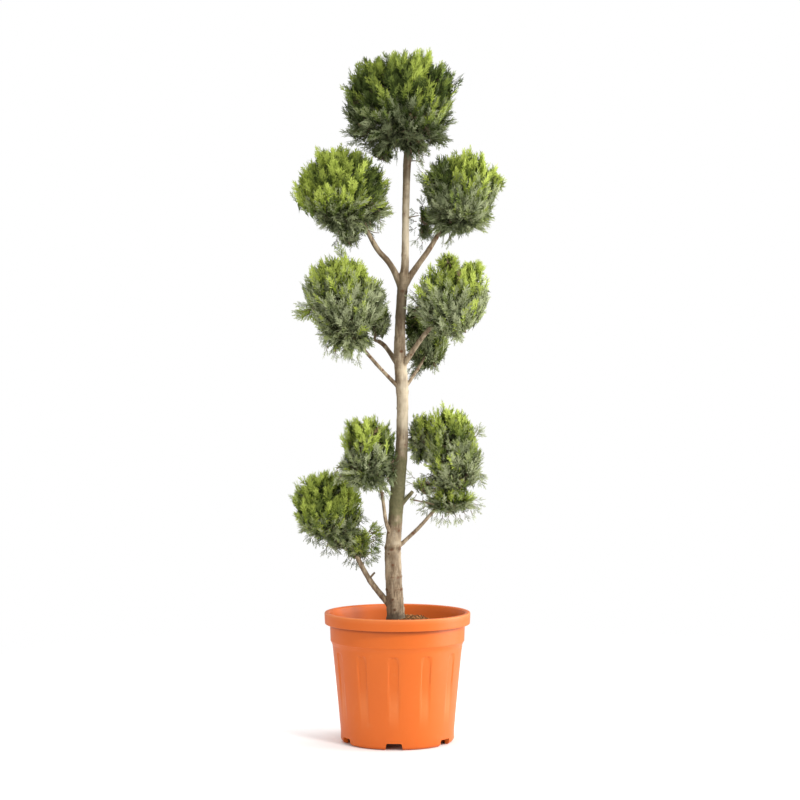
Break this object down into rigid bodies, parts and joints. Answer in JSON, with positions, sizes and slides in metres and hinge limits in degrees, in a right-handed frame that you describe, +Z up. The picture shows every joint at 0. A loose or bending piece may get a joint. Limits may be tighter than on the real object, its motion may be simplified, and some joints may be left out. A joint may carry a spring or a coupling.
{
  "type": "potted leyland cypress pompom topiary",
  "caption": "Tall conifer topiary: a bare leaning trunk with side boughs, each ending in a clipped ball of feathery green foliage, growing in a fluted round orange plastic pot.",
  "frame": {"origin": "the middle of the pot's underside, on the surface it stands on", "axes": "+Z is up along the plant's height, +X is to the right seen from the front, and the front faces -Y"},
  "size_m": [0.5064, 0.3394, 1.609],
  "materials": {
    "pot_plastic": "satin",
    "potting_soil": "matte, crumbly",
    "bark": "matte, finely ringed",
    "foliage": "matte, feathery"
  },
  "bodies": {
    "root": {"pot": "pot_plastic", "soil": "potting_soil", "trunk": "bark", "bough_lower_left": "bark", "bough_lower_left_high": "bark", "bough_lower_right": "bark", "bough_lower_right_inner": "bark", "bough_mid_left": "bark", "bough_mid_left_back": "bark", "bough_mid_right": "bark", "bough_mid_back": "bark", "bough_upper_left": "bark", "bough_upper_right": "bark", "mass_top": "foliage", "mass_upper_left": "foliage", "mass_upper_right": "foliage", "mass_mid_left": "foliage", "mass_mid_left_back": "foliage", "mass_mid_right": "foliage", "mass_mid_back": "foliage", "mass_lower_left_high": "foliage", "mass_lower_left": "foliage", "mass_lower_right": "foliage"}
  },
  "joints": []
}
